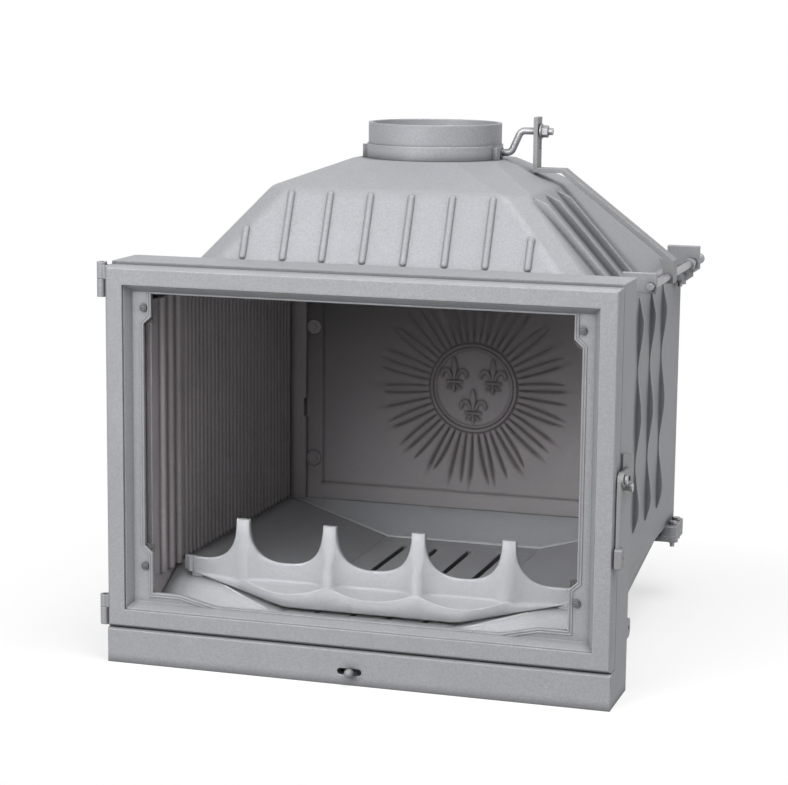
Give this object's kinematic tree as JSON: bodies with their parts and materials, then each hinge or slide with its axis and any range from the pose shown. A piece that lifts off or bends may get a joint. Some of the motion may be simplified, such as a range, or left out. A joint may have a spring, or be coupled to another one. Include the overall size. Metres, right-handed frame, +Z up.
{
  "type": "fireplace insert",
  "caption": "Cast iron fireplace insert with a glazed side-hinged door, fluted fire chamber, ribbed smoke dome, round flue collar and a rod-worked damper.",
  "frame": {"origin": "on the floor under the middle of the insert's bounding box", "axes": "+X to the right seen from the front, +Y to the back, +Z up; the door faces -Y"},
  "size_m": [0.729, 0.65, 0.738],
  "materials": {
    "outer": "satin sand-cast surface, light bluish grey",
    "inner": "matt sand-cast surface, darker grey",
    "steel": "satin steel",
    "fastener": "dark fasteners",
    "glass": "clear heat-proof pane",
    "seal": "woven fibre seal"
  },
  "bodies": {
    "body": {"front_frame": "outer", "plinth_panel": "outer", "slide_rails": "steel", "base_casting": "outer", "hearth_left": "inner", "hearth_right": "inner", "hearth_rear": "inner", "hearth_bridges": "inner", "grate_bearers": "inner", "side_casting_left": "outer", "side_casting_right": "outer", "side_liner_left": "inner", "side_liner_right": "inner", "back_casting": "outer", "fireback": "inner", "fireback_clips": "fastener", "corner_strip_left": "inner", "corner_strip_right": "inner", "baffle_plate": "inner", "dome": "outer", "flue_collar": "outer", "rod_guides": "steel", "tie_bolts": "fastener", "hinge_pins": "fastener", "keeper_plate": "steel", "keeper_bolt": "fastener"},
    "door": {"door_frame": "outer", "door_glass": "glass", "glass_gasket": "seal", "glass_clips": "steel", "glass_bolts": "fastener", "door_rope": "seal", "latch_pivot": "fastener"},
    "latch": {"latch_lever": "steel"},
    "damper": {"damper_flap": "steel", "damper_shaft": "steel", "crank_nut": "fastener"},
    "linkage": {"link_bar": "steel", "control_rod": "steel"},
    "shutter": {"air_slide": "steel"},
    "pan": {"ash_pan": "steel"},
    "grate": {"grate": "inner"},
    "retainer": {"log_retainer": "outer"}
  },
  "joints": [
    {"name": "door_hinge", "type": "hinge", "parent": "body", "child": "door", "pos_m": [-0.3575, -0.301, 0.3], "axis": [0, 0, -1], "range_deg": [0, 110]},
    {"name": "latch_swing", "type": "hinge", "parent": "door", "child": "latch", "pos_m": [0.355, -0.298, 0.302], "axis": [-1, 0, 0], "range_deg": [0, 15]},
    {"name": "damper_turn", "type": "hinge", "parent": "body", "child": "damper", "pos_m": [0, 0.056, 0.687], "axis": [1, 0, 0], "range_deg": [0, 60]},
    {"name": "link_slide", "type": "slide", "parent": "body", "child": "linkage", "axis": [0, -1, 0], "range_m": [0, 0.0282]},
    {"name": "shutter_slide", "type": "slide", "parent": "body", "child": "shutter", "axis": [1, 0, 0], "range_m": [-0.009, 0.009]},
    {"name": "pan_lift", "type": "slide", "parent": "body", "child": "pan", "axis": [0, 0, 1], "range_m": [0, 0.1]},
    {"name": "grate_lift", "type": "slide", "parent": "pan", "child": "grate", "axis": [0, 0, 1], "range_m": [0, 0.1]},
    {"name": "retainer_lift", "type": "slide", "parent": "grate", "child": "retainer", "axis": [0, 0, 1], "range_m": [0, 0.1]}
  ],
  "couplings": [
    {"joint": "link_slide", "follows": "damper_turn", "m_per_rad": 0.0268}
  ]
}
